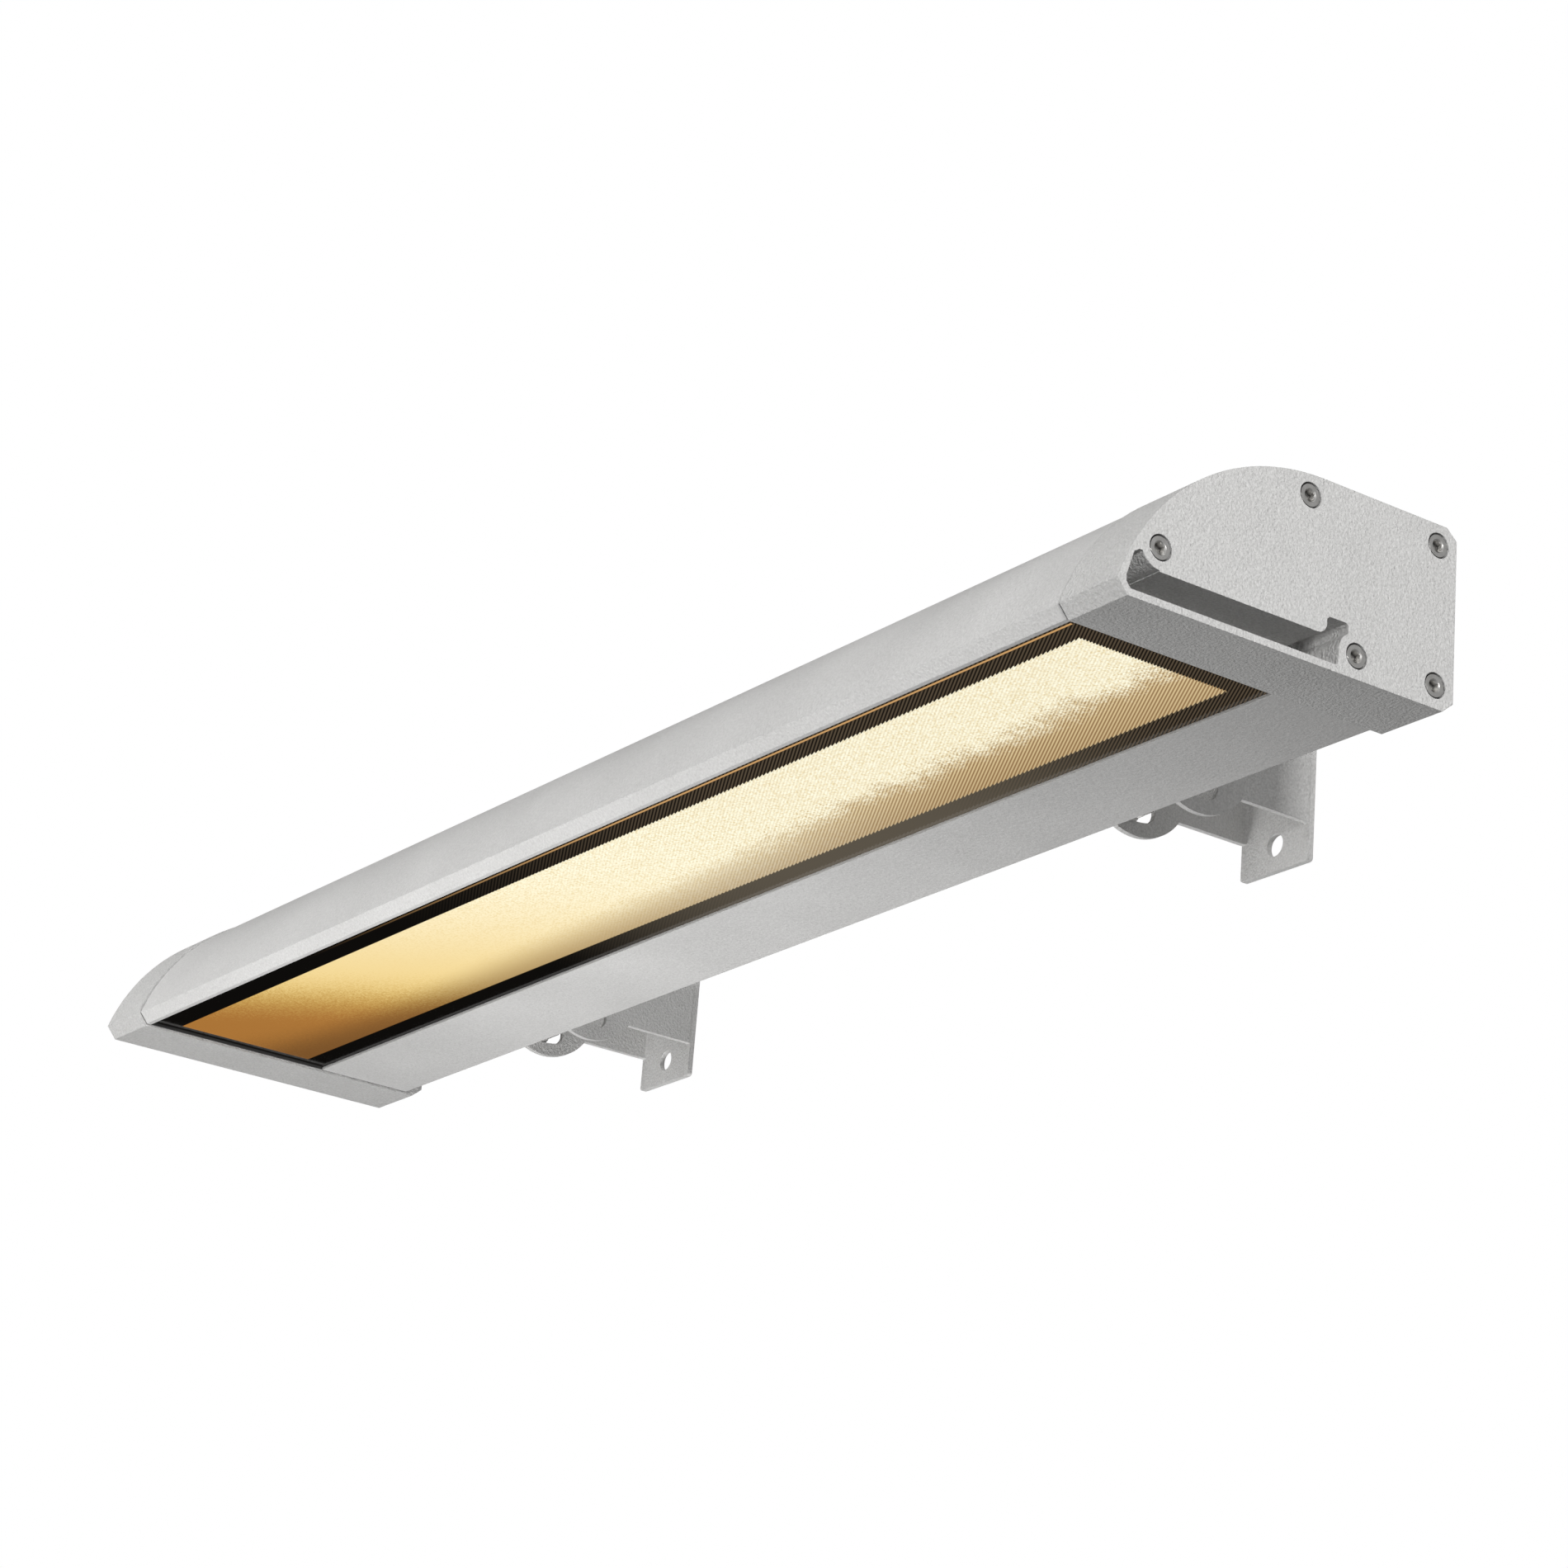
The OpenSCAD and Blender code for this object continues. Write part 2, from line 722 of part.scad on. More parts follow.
// A clear bar that hangs under a lamp board: two feet touch the board, and the face is arched.
module lens_section() {
    top = board_h - lens_foot_h - led_h;
    difference() {
        union() {
            polygon([
                [board_s - lens_face_w / 2, top - lens_h + lens_foot_h],
                [board_s + lens_face_w / 2, top - lens_h + lens_foot_h],
                [board_s + lens_face_w / 2, top - lens_h + 2 * lens_foot_h],
                [board_s + lens_top_w / 2, board_h],
                [board_s - lens_top_w / 2, board_h],
                [board_s - lens_face_w / 2, top - lens_h + 2 * lens_foot_h]]);
            intersection() {
                translate([board_s, top - lens_h + lens_face_w]) circle(r = lens_face_w + lens_foot_h);
                translate([board_s - lens_face_w / 2, top - lens_h - lens_foot_h])
                    square([lens_face_w, 3 * lens_foot_h]);
            }
        }
        translate([board_s - led_w, board_h - lens_clear]) square([2 * led_w, lens_clear + eps]);
    }
}

module lens_bars() {
    color("azure", 0.7)
        for (i = [0 : board_count - 1])
            along(board_x(i), board_l) lens_section();
}

module driver() {
    color("whitesmoke")
        translate([driver_x, section_y + driver_s, section_z + shelf_h + shelf_t + tray_t])
            difference() {
                cube([driver_l, driver_w, driver_h]);
                // Recesses where the leads go in: high at the left, half-way up at the right
                translate([-eps, lead_s() - driver_s - lead_bend / 2, driver_h - lead_bend / 2])
                    cube([lead_bend / 2 + eps, lead_bend, lead_bend]);
                translate([driver_l - lead_bend / 2, lead_s() - driver_s - lead_bend / 2, (driver_h - lead_bend) / 2])
                    cube([lead_bend / 2 + eps, lead_bend, lead_bend]);
            }
}

function tray_screw_places() = [
    for (x = [driver_x - tray_lip / 2, driver_x + driver_l + tray_lip / 2])
        for (s = [driver_w / 5, driver_w * 4 / 5])
            [x, driver_s + s]];

module driver_tray() {
    color("silver")
        translate([0, section_y, section_z + shelf_h + shelf_t])
            difference() {
                union() {
                    translate([driver_x - tray_lip, driver_s, 0])
                        cube([driver_l + 2 * tray_lip, driver_w, tray_t]);
                    // Low turned-up edges keep the power supply in its place
                    for (x = [driver_x - tight - tray_t, driver_x + driver_l + tight])
                        translate([x, driver_s + driver_w / 3, 0])
                            cube([tray_t, driver_w / 3, driver_h / 3]);
                }
                for (p = tray_screw_places())
                    translate([p[0], p[1], -eps])
                        cylinder(d = tray_screw_d + 2 * tight, h = tray_t + 2 * eps);
            }
}

module tray_screws() {
    head = tray_screw_d / 2;
    color("silver")
        for (p = tray_screw_places())
            translate([p[0], section_y + p[1], section_z + shelf_h]) {
                cylinder(d = tray_screw_d, h = shelf_t + tray_t + eps);
                translate([0, 0, shelf_t + tray_t]) cylinder(d = 2 * tray_screw_d, h = head);
            }
}

module terminal_block() {
    ways = 3;
    way_w = terminal_w / ways;
    color("ivory")
        translate([terminal_x, section_y + terminal_s, section_z + floor_h + wall])
            difference() {
                cube([terminal_l, terminal_w, terminal_h]);
                for (i = [0 : ways - 1])
                    translate([0, (i + 0.5) * way_w, terminal_h / 2]) {
                        translate([-eps, 0, 0])
                            rotate([0, 90, 0])
                                cylinder(d = way_w / 2, h = terminal_l / 3);
                        translate([terminal_l * 2 / 3, 0, 0])
                            rotate([0, 90, 0])
                                cylinder(d = way_w / 2, h = terminal_l / 3 + eps);
                        translate([terminal_l / 4, 0, 0]) cylinder(d = way_w / 2, h = terminal_h);
                    }
            }
}

// Depth of the leads beside the power supply, in line with the terminal block's first way.
function lead_s() = terminal_s + terminal_w / 6;

// Where the lead to the lamps drops through the shelf.
function lead_down_s() = board_s + board_w / 2 - lead_d;
function lead_x() = driver_x + driver_l + 2 * tray_lip + 2 * lead_bend;

// Heights of the leads at both ends of the power supply and at the terminal block.
function lead_high() = section_z + shelf_h + shelf_t + tray_t + driver_h - lead_bend / 2 + lead_d / 2;
function lead_middle() = section_z + shelf_h + shelf_t + tray_t + driver_h / 2;
function lead_low() = section_z + floor_h + wall + terminal_h / 2;

// A straight length of lead from the origin along +Z.
module lead_run(l) {
    cylinder(d = lead_d, h = l, $fn = 24);
}

// A quarter bend of a lead: it starts along +X at the origin and turns towards +Y.
module lead_elbow() {
    translate([0, lead_bend, 0])
        rotate([0, 0, -90])
            rotate_extrude(angle = 90)
                translate([lead_bend, 0])
                    circle(d = lead_d, $fn = 24);
}

// From the terminal block to the end cap, up past the shelf and back to the power supply
module supply_lead() {
    y = section_y + lead_s();
    turn_x = case_x0 - cap_t / 2;
    translate([turn_x + lead_bend, y, lead_low()]) {
        rotate([0, 90, 0]) lead_run(terminal_x - turn_x - lead_bend);
        rotate([90, 0, 180]) lead_elbow();
    }
    translate([turn_x, y, lead_low() + lead_bend])
        lead_run(lead_high() - lead_low() - 2 * lead_bend);
    translate([turn_x + lead_bend, y, lead_high()]) {
        rotate([-90, 0, 180]) lead_elbow();
        rotate([0, 90, 0]) lead_run(driver_x + lead_bend / 2 - turn_x - lead_bend);
    }
}

// From the power supply to the front and down through the shelf to the lamp boards
module lamp_lead() {
    back_y = section_y + lead_s();
    front_y = section_y + lead_down_s();
    start_x = driver_x + driver_l - lead_bend / 2;
    translate([start_x, back_y, lead_middle()])
        rotate([0, 90, 0])
            lead_run(lead_x() - lead_bend - start_x);
    translate([lead_x() - lead_bend, back_y, lead_middle()])
        mirror([0, 1, 0])
            lead_elbow();
    translate([lead_x(), back_y - lead_bend, lead_middle()])
        rotate([90, 0, 0])
            lead_run(back_y - front_y - 2 * lead_bend);
    translate([lead_x(), front_y + lead_bend, lead_middle()])
        rotate([-90, 0, -90])
            lead_elbow();
    translate([lead_x(), front_y, section_z + shelf_h])
        lead_run(lead_middle() - lead_bend - section_z - shelf_h);
}

module inner_leads() {
    color("dimgray") {
        supply_lead();
        lamp_lead();
    }
}

module gland_body() {
    inside = cap_plate + ring_nut_t;
    color("black")
        on_end(-1)
            difference() {
                union() {
                    bar(-inside - tight, inside + 2 * tight, gland_s, gland_h, gland_d / 2);
                    hex_bar(tight, gland_flange_h, gland_s, gland_h, gland_af);
                    bar(gland_flange_h, gland_nut_h / 2, gland_s, gland_h, gland_neck_r);
                }
                bar(-inside - eps, inside + gland_flange_h + gland_nut_h, gland_s, gland_h, gland_bore_r);
            }
}

module gland_ring_nut() {
    color("black")
        on_end(-1)
            difference() {
                hex_bar(-cap_plate - ring_nut_t - tight, ring_nut_t, gland_s, gland_h, gland_af);
                bar(-cap_plate - 2 * ring_nut_t, 3 * ring_nut_t, gland_s, gland_h, gland_d / 2 + running);
            }
}

module gland_seal() {
    seal_l = gland_nut_h * gland_seal_share;
    color("dimgray")
        on_end(-1)
            difference() {
                bar(gland_flange_h, seal_l, gland_s, gland_h, gland_bore_r - running);
                bar(gland_flange_h - eps, gland_nut_h, gland_s, gland_h, cable_d / 2);
            }
}

module gland_dome_nut() {
    round_l = gland_nut_h * gland_round_share;
    start = gland_flange_h + 2 * tight;
    color("black")
        on_end(-1)
            difference() {
                union() {
                    hex_bar(start, gland_nut_h - round_l, gland_s, gland_h, gland_af);
                    translate([start + gland_nut_h - round_l, section_y + gland_s, section_z + gland_h])
                        rotate([0, 90, 0])
                            cylinder(d1 = gland_af, d2 = gland_d * gland_crown_share, h = round_l);
                }
                bar(start - eps, gland_nut_h / 2 + 2 * eps, gland_s, gland_h, gland_neck_r + running);
                bar(start, 2 * gland_nut_h, gland_s, gland_h, gland_bore_r);
            }
}

// Plan of a sheet bent to a U: its web lies along X at y = 0, its cheeks run l towards +Y.
module bent_plan(w, l, t) {
    outer = bend_r + t;
    difference() {
        union() {
            translate([-w / 2 + outer, 0]) square([w - 2 * outer, l]);
            translate([-w / 2, outer]) square([w, l - outer]);
            for (x = [-1, 1]) translate([x * (w / 2 - outer), outer]) circle(r = outer);
        }
        translate([-w / 2 + outer, t]) square([w - 2 * outer, l]);
        translate([-w / 2 + t, outer]) square([w - 2 * t, l]);
        for (x = [-1, 1]) translate([x * (w / 2 - outer), outer]) circle(r = bend_r);
    }
}

// A slot along an arc round the origin, between two angles in degrees.
module arc_slot(r, w, from, to) {
    far = 2 * (r + w);
    middle = (from + to) / 2;
    intersection() {
        difference() {
            circle(r = r + w / 2);
            circle(r = r - w / 2);
        }
        polygon([
            [0, 0],
            far * [cos(from), sin(from)],
            far * [cos((from + middle) / 2), sin((from + middle) / 2)],
            far * [cos(middle), sin(middle)],
            far * [cos((middle + to) / 2), sin((middle + to) / 2)],
            far * [cos(to), sin(to)]]);
    }
    for (a = [from, to]) translate(r * [cos(a), sin(a)]) circle(d = w, $fn = 48);
}

// Side view of a wall bracket's cheek, with the pivot at the origin and the wall towards +X.
module cheek_side() {
    difference() {
        union() {
            circle(r = lobe_r, $fn = 120);
            translate([0, -neck_h / 2]) square([pivot_to_wall, neck_h]);
        }
        circle(r = pivot_d / 2 + tight);
        arc_slot(slot_r, slot_w, slot_from, slot_to);
    }
}

module wall_plate() {
    translate([-cheek_x, -sheet_t, -plate_h / 2]) {
        translate([plate_r, 0, 0]) cube([bracket_w - 2 * plate_r, sheet_t, plate_h]);
        translate([0, 0, plate_r]) cube([bracket_w, sheet_t, plate_h - 2 * plate_r]);
        for (x = [plate_r, bracket_w - plate_r], z = [plate_r, plate_h - plate_r])
            translate([x, sheet_t, z])
                rotate([90, 0, 0])
                    cylinder(r = plate_r, h = sheet_t);
    }
}

module wall_bracket(side) {
    reach = pivot_to_wall + lobe_r;
    color("lightgray")
        translate([side * bracket_pitch / 2, 0, 0])
            difference() {
                union() {
                    wall_plate();
                    intersection() {
                        translate([0, 0, -lobe_r])
                            linear_extrude(2 * lobe_r)
                                mirror([0, 1])
                                    bent_plan(bracket_w, reach, sheet_t);
                        translate([-cheek_x, -pivot_to_wall, 0])
                            rotate([90, 0, 90])
                                linear_extrude(bracket_w)
                                    cheek_side();
                    }
                }
                for (z = [-1, 1])
                    translate([0, eps, z * hole_pitch / 2])
                        rotate([90, 0, 0])
                            cylinder(d = hole_d, h = sheet_t + 2 * eps);
            }
}

module wall_bracket_left() {
    wall_bracket(-1);
}

module wall_bracket_right() {
    wall_bracket(1);
}

// Side view of a hinge plate's ear, with the pivot at the origin and the lamp towards -X.
module ear_side(with_lug) {
    difference() {
        union() {
            circle(r = ear_r);
            polygon([
                [-pivot_to_case, -hinge_h / 2],
                [-ear_r, -hinge_h / 2],
                [0, -ear_r],
                [0, ear_r],
                [-ear_r, hinge_h / 2],
                [-pivot_to_case, hinge_h / 2]]);
            if (with_lug) {
                translate([lock_s, lock_h]) circle(r = lug_r);
                polygon([
                    [lock_s - lug_r, lock_h],
                    [lock_s + lug_r, lock_h],
                    [0, 0],
                    [-pivot_to_case / 2, 0],
                    [-pivot_to_case / 2, -hinge_h / 2]]);
            }
        }
        circle(r = pivot_d / 2 + running);
        if (with_lug)
            translate([lock_s, lock_h]) circle(r = lock_d / 2 + tight);
    }
}

// Only the left ear has the lug for the locking bolt.
module hinge_plate(side) {
    reach = pivot_to_case + ear_r;
    color("lightgray")
        translate([side * bracket_pitch / 2, -pivot_to_wall, 0])
            difference() {
                intersection() {
                    translate([0, -pivot_to_case, -slot_r - lug_r])
                        linear_extrude(2 * (slot_r + lug_r))
                            bent_plan(2 * ear_x, reach, hinge_t);
                    union() {
                        translate([0, 0, 0])
                            rotate([90, 0, 90])
                                linear_extrude(ear_x)
                                    ear_side(false);
                        translate([-ear_x, 0, 0])
                            rotate([90, 0, 90])
                                linear_extrude(ear_x)
                                    ear_side(true);
                    }
                }
                for (x = [-1, 1])
                    translate([x * hinge_screw_pitch / 2, -pivot_to_case - eps, 0])
                        rotate([-90, 0, 0])
                            cylinder(d = groove_screw_d + 2 * air, h = hinge_t + 2 * eps);
            }
}

module hinge_plate_left() {
    hinge_plate(-1);
}

module hinge_plate_right() {
    hinge_plate(1);
}

// Draws its children at both screws of both hinge plates, on the back of the extrusion.
module at_groove_screws() {
    for (side = [-1, 1], x = [-1, 1])
        translate([side * bracket_pitch / 2 + x * hinge_screw_pitch / 2, -pivot_to_wall - pivot_to_case, 0])
            rotate([-90, 0, 0])
                children();
}

module groove_screws() {
    reach = wall + groove_in_d - air;
    color("silver")
        at_groove_screws()
            difference() {
                union() {
                    translate([0, 0, hinge_t]) cylinder(d = groove_head_d, h = groove_head_h);
                    translate([0, 0, -reach]) cylinder(d = groove_screw_d, h = reach + hinge_t + eps);
                }
                translate([0, 0, hinge_t + groove_head_h / 2])
                    cylinder(d = groove_screw_d * hex_key_share, h = groove_head_h, $fn = 6);
            }
}

module groove_nuts() {
    across = groove_in_h - 2 * air;
    color("silver")
        at_groove_screws()
            difference() {
                translate([-groove_nut_l / 2, -across / 2, -wall - groove_nut_t])
                    cube([groove_nut_l, across, groove_nut_t]);
                translate([0, 0, -wall - groove_nut_t - eps])
                    cylinder(d = groove_screw_d + 2 * running, h = groove_nut_t + 2 * eps);
            }
}

// A ring along X at a bracket, from x, round a point given from the pivot.
module ring_at(x, t, at, r, hole_r) {
    translate([x, -pivot_to_wall + at[0], at[1]])
        rotate([0, 90, 0])
            difference() {
                cylinder(r = r, h = t);
                translate([0, 0, -eps]) cylinder(r = hole_r, h = t + 2 * eps);
            }
}

module friction_rings() {
    color("black")
        for (middle = [-1, 1] * bracket_pitch / 2, x = [-ear_x - ring_t, ear_x])
            ring_at(middle + x, ring_t, [0, 0], ring_r, pivot_d / 2 + running);
}

module pivot_bolts() {
    head_x = cheek_x + washer_t;
    color("silver")
        for (side = [-1, 1])
            translate([side * bracket_pitch / 2, -pivot_to_wall, 0])
                rotate([0, 90, 0]) {
                    translate([0, 0, head_x]) cylinder(d = pivot_af / cos(30), h = pivot_head_h, $fn = 6);
                    translate([0, 0, -cheek_x - washer_t - pivot_nut_h - air])
                        cylinder(d = pivot_d, h = cheek_x + washer_t + pivot_nut_h + air + head_x + eps);
                }
}

module pivot_washers() {
    color("silver")
        for (middle = [-1, 1] * bracket_pitch / 2, x = [-cheek_x - washer_t, cheek_x])
            ring_at(middle + x, washer_t, [0, 0], pivot_washer_r, pivot_d / 2 + tight);
}

// A hexagon nut along X that starts at x.
module nut_at(x, t, at, af, hole_r) {
    translate([x, -pivot_to_wall + at[0], at[1]])
        rotate([0, 90, 0])
            difference() {
                cylinder(d = af / cos(30), h = t, $fn = 6);
                translate([0, 0, -eps]) cylinder(r = hole_r, h = t + 2 * eps);
            }
}

module pivot_nuts() {
    start = cheek_x + washer_t + pivot_nut_h;
    color("silver")
        for (x = [-1, 1] * bracket_pitch / 2)
            nut_at(x - start, pivot_nut_h, [0, 0], pivot_af, pivot_d / 2 + running);
}

module lock_bolts() {
    inner = ear_x - hinge_t;
    color("silver")
        for (side = [-1, 1])
            translate([side * bracket_pitch / 2, -pivot_to_wall + lock_s, lock_h])
                rotate([0, -90, 0]) {
                    translate([0, 0, inner - lock_head_h])
                        cylinder(d = lock_af / cos(30), h = lock_head_h, $fn = 6);
                    translate([0, 0, inner - eps])
                        cylinder(d = lock_d, h = cheek_x + lock_out - inner + eps);
                }
}

module lock_washers() {
    start = cheek_x + tight + washer_t;
    color("silver")
        for (x = [-1, 1] * bracket_pitch / 2)
            ring_at(x - start, washer_t, [lock_s, lock_h], lock_washer_r, lock_d / 2 + tight);
}

module lock_nuts() {
    start = cheek_x + tight + washer_t + lock_nut_h;
    color("silver")
        for (x = [-1, 1] * bracket_pitch / 2)
            nut_at(x - start, lock_nut_h, [lock_s, lock_h], lock_af, lock_d / 2 + running);
}

case();
end_cap_left();
end_cap_right();
end_seal_left();
end_seal_right();
cap_screws_left();
cap_screws_right();
glass();
glass_seal();
reflector_front();
reflector_rear();
lamp_boards();
lamp_chips();
lens_bars();
driver();
driver_tray();
tray_screws();
terminal_block();
inner_leads();
gland_body();
gland_ring_nut();
gland_seal();
gland_dome_nut();
hinge_plate_left();
hinge_plate_right();
groove_screws();
groove_nuts();
friction_rings();
lock_bolts();
lock_washers();
lock_nuts();
wall_bracket_left();
wall_bracket_right();
pivot_bolts();
pivot_washers();
pivot_nuts();
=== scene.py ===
# Looks of the outdoor wall washer light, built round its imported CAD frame.
# All lengths are in metres and all places are in the frame of the part: X runs along the lamp,
# +Y points into the wall and +Z is up. Colours are linear.
import math

import bpy
from mathutils import Matrix, Vector


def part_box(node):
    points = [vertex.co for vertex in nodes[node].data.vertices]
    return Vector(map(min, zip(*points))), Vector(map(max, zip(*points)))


mm = 0.001
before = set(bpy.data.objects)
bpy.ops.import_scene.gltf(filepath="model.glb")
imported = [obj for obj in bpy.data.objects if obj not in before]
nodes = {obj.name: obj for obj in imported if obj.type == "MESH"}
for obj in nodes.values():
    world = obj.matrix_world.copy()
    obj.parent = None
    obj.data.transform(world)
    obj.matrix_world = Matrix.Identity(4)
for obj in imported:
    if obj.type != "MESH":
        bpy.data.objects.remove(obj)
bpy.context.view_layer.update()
print("stage: frame loaded")

# Camera, fitted to the outline of the lamp in the photograph
camera = {
    "place": (1.43388, -1.04824, -0.60909),
    "forward": (-0.77885402, 0.51910297, 0.35202062),
    "up": (0.24629576, -0.26303625, 0.93281849),
    "lens": 98.914,
    "sensor": 36,
}


def makeCamera():
    data = bpy.data.cameras.new("camera")
    data.lens = camera["lens"]
    data.sensor_width = camera["sensor"]
    obj = bpy.data.objects.new("camera", data)
    back = -Vector(camera["forward"])
    up = Vector(camera["up"])
    right = up.cross(back)
    turn = Matrix((right, up, back)).transposed().to_4x4()
    obj.matrix_world = Matrix.Translation(camera["place"]) @ turn
    bpy.context.scene.collection.objects.link(obj)
    bpy.context.scene.camera = obj


# Short calls that build a node tree. A value is a number, a colour, a socket or a node.
class Nodes:
    def __init__(self, tree):
        self.tree = tree

    def add(self, kind, inputs=None, **settings):
        item = self.tree.nodes.new(kind)
        for key, value in settings.items():
            setattr(item, key, value)
        for key, value in (inputs or {}).items():
            self.feed(item.inputs[key], value)
        return item

    # Links the socket to a socket or to a node's first output, or sets its own value.
    def feed(self, socket, value):
        if isinstance(value, bpy.types.NodeSocket):
            self.tree.links.new(value, socket)
        elif hasattr(value, "outputs"):
            self.tree.links.new(value.outputs[0], socket)
        elif socket.type == "RGBA":
            socket.default_value = (*value, 1)
        else:
            socket.default_value = value

    def maths(self, operation, *values):
        item = self.add("ShaderNodeMath", operation=operation)
        for socket, value in zip(item.inputs, values):
            self.feed(socket, value)
        return item.outputs[0]

    def times(self, first, second):
        return self.maths("MULTIPLY", first, second)

    def less(self, first, second):
        return self.maths("SUBTRACT", first, second)

    # A straight line: the value times the slope, plus the start.
    def line(self, value, slope, start):
        return self.maths("MULTIPLY_ADD", value, slope, start)

    # A colour that goes from the first to the second as the share goes from 0 to 1.
    def mix(self, share, first, second):
        item = self.add("ShaderNodeMix", data_type="RGBA")
        self.feed(item.inputs[0], share)
        self.feed(item.inputs[6], first)  # 6 and 7 are the node's two colour sockets
        self.feed(item.inputs[7], second)
        return item.outputs[2]

    # Rises from 0 at low to 1 at high, and stays there.
    def rises(self, value, low, high, kind="SMOOTHSTEP"):
        item = self.add("ShaderNodeMapRange", interpolation_type=kind)
        for socket, number in zip(item.inputs, (value, low, high, 0.0, 1.0)):
            self.feed(socket, number)
        return item.outputs[0]

    # Falls from 1 at low to 0 at high, and stays there.
    def falls(self, value, low, high):
        return self.less(1.0, self.rises(value, low, high))

    def noise(self, coords, size, detail=2.0, rough=0.5):
        inputs = {"Vector": coords, "Scale": 1 / size, "Detail": detail, "Roughness": rough}
        return self.add("ShaderNodeTexNoise", inputs).outputs["Fac"]

    # The point in the part's frame.
    def place(self):
        return self.add("ShaderNodeTexCoord").outputs["Object"]

    def axes(self, vector):
        return self.add("ShaderNodeSeparateXYZ", {0: vector}).outputs


def newMaterial(name):
    material = bpy.data.materials.new(name)
    material.use_nodes = True
    material.node_tree.nodes.clear()
    made = Nodes(material.node_tree)
    shader = made.add("ShaderNodeBsdfPrincipled")
    made.add("ShaderNodeOutputMaterial", {"Surface": shader})
    return material, made, shader


# Bump of a height texture on top of edges that look rounded by the given radius.
def roundedNormal(made, height, distance, edge):
    soft = made.add("ShaderNodeBevel", {"Radius": edge}, samples=4)
    inputs = {"Strength": 1.0, "Distance": distance, "Height": height, "Normal": soft}
    return made.add("ShaderNodeBump", inputs)


# Powder coat: flecks and slow patches of tone, and a relief of the size of its grain.
def paint(name, look):
    material, made, shader = newMaterial(name)
    coords = made.place()
    grain = made.noise(coords, look["grain"], detail=3.0, rough=0.6)
    fine = made.noise(coords, look["fleck"], detail=1.0)
    slow = made.noise(coords, look["patch"])
    patches = made.times(slow, 1 - look["fleckShare"])
    tone = made.line(fine, look["fleckShare"], patches)
    made.feed(shader.inputs["Base Color"], made.mix(tone, look["dark"], look["pale"]))
    made.feed(shader.inputs["Roughness"], made.line(slow, look["roughSpread"], look["rough"]))
    made.feed(shader.inputs["Specular IOR Level"], look["shine"])
    made.feed(shader.inputs["Normal"], roundedNormal(made, grain, look["relief"], look["edge"]))
    return material


capPaintLook = {
    "grain": 1.15 * mm, "fleck": 0.9 * mm, "patch": 40 * mm, "fleckShare": 0.8,
    "dark": (0.336, 0.333, 0.326), "pale": (0.672, 0.668, 0.659),
    "rough": 0.5, "roughSpread": 0.12, "shine": 0.3, "relief": 0.85 * mm, "edge": 0.4 * mm,
}
casePaintLook = {
    "grain": 1.3 * mm, "fleck": 0.9 * mm, "patch": 60 * mm, "fleckShare": 0.7,
    "dark": (0.4, 0.396, 0.389), "pale": (0.73, 0.725, 0.715),
    "rough": 0.34, "roughSpread": 0.1, "shine": 0.5, "relief": 0.35 * mm, "edge": 0.5 * mm,
}
bracketPaintLook = {
    "grain": 1.3 * mm, "fleck": 0.9 * mm, "patch": 30 * mm, "fleckShare": 0.8,
    "dark": (0.4, 0.395, 0.385), "pale": (0.82, 0.815, 0.805),
    "rough": 0.4, "roughSpread": 0.12, "shine": 0.5, "relief": 0.6 * mm, "edge": 0.4 * mm,
}


# Bare metal with fine lines, a noise stretched along X, and painted shade that darkens it in deep
# recesses.
def metal(name, look):
    material, made, shader = newMaterial(name)
    coords = made.place()
    stretched = made.add("ShaderNodeMapping", {"Vector": coords, "Scale": look["stretch"]})
    lines = made.noise(stretched, look["line"])
    slow = made.noise(coords, look["patch"], detail=3.0)
    tone = made.mix(slow, look["dark"], look["pale"])
    # Painted shade: where ambient occlusion finds a recess, such as a screw's socket or
    # counterbore, the tone turns dark
    if "recess" in look:
        reach = {"Distance": look["recess"]}
        openShare = made.add("ShaderNodeAmbientOcclusion", reach, samples=8).outputs["AO"]
        shown = made.rises(openShare, *look["recessShares"])
        tone = made.mix(shown, look["recessTone"], tone)
    made.feed(shader.inputs["Base Color"], tone)
    made.feed(shader.inputs["Metallic"], 1.0)
    made.feed(shader.inputs["Roughness"], made.line(lines, look["roughSpread"], look["rough"]))
    made.feed(shader.inputs["Normal"], roundedNormal(made, lines, look["relief"], look["edge"]))
    return material


steelLook = {
    "stretch": (0.2, 1, 1), "line": 0.4 * mm, "patch": 3 * mm,
    "dark": (0.52, 0.51, 0.49), "pale": (0.84, 0.83, 0.81),
    "rough": 0.2, "roughSpread": 0.25, "relief": 0.01 * mm, "edge": 0.25 * mm,
    # The recess keys below set the painted shade in the screws' sockets and counterbores
    "recess": 2.5 * mm, "recessShares": (0.3, 0.75), "recessTone": (0.06, 0.058, 0.055),
}
sheetMetalLook = {
    "stretch": (0.1, 1, 1), "line": 0.3 * mm, "patch": 20 * mm,
    "dark": (0.75, 0.75, 0.74), "pale": (0.85, 0.85, 0.84),
    "rough": 0.3, "roughSpread": 0.15, "relief": 0.01 * mm, "edge": 0.2 * mm,
}


# Moulded plastic, rubber or board: a slow change of tone and a fine relief, both noises.
def plain(name, look):
    material, made, shader = newMaterial(name)
    coords = made.place()
    grain = made.noise(coords, look["grain"])
    slow = made.noise(coords, look["patch"])
    made.feed(shader.inputs["Base Color"], made.mix(slow, look["dark"], look["pale"]))
    made.feed(shader.inputs["Roughness"], made.line(grain, look["roughSpread"], look["rough"]))
    made.feed(shader.inputs["Normal"], roundedNormal(made, grain, look["relief"], look["edge"]))
    if "clear" in look:
        made.feed(shader.inputs["Transmission Weight"], look["clear"])
    return material


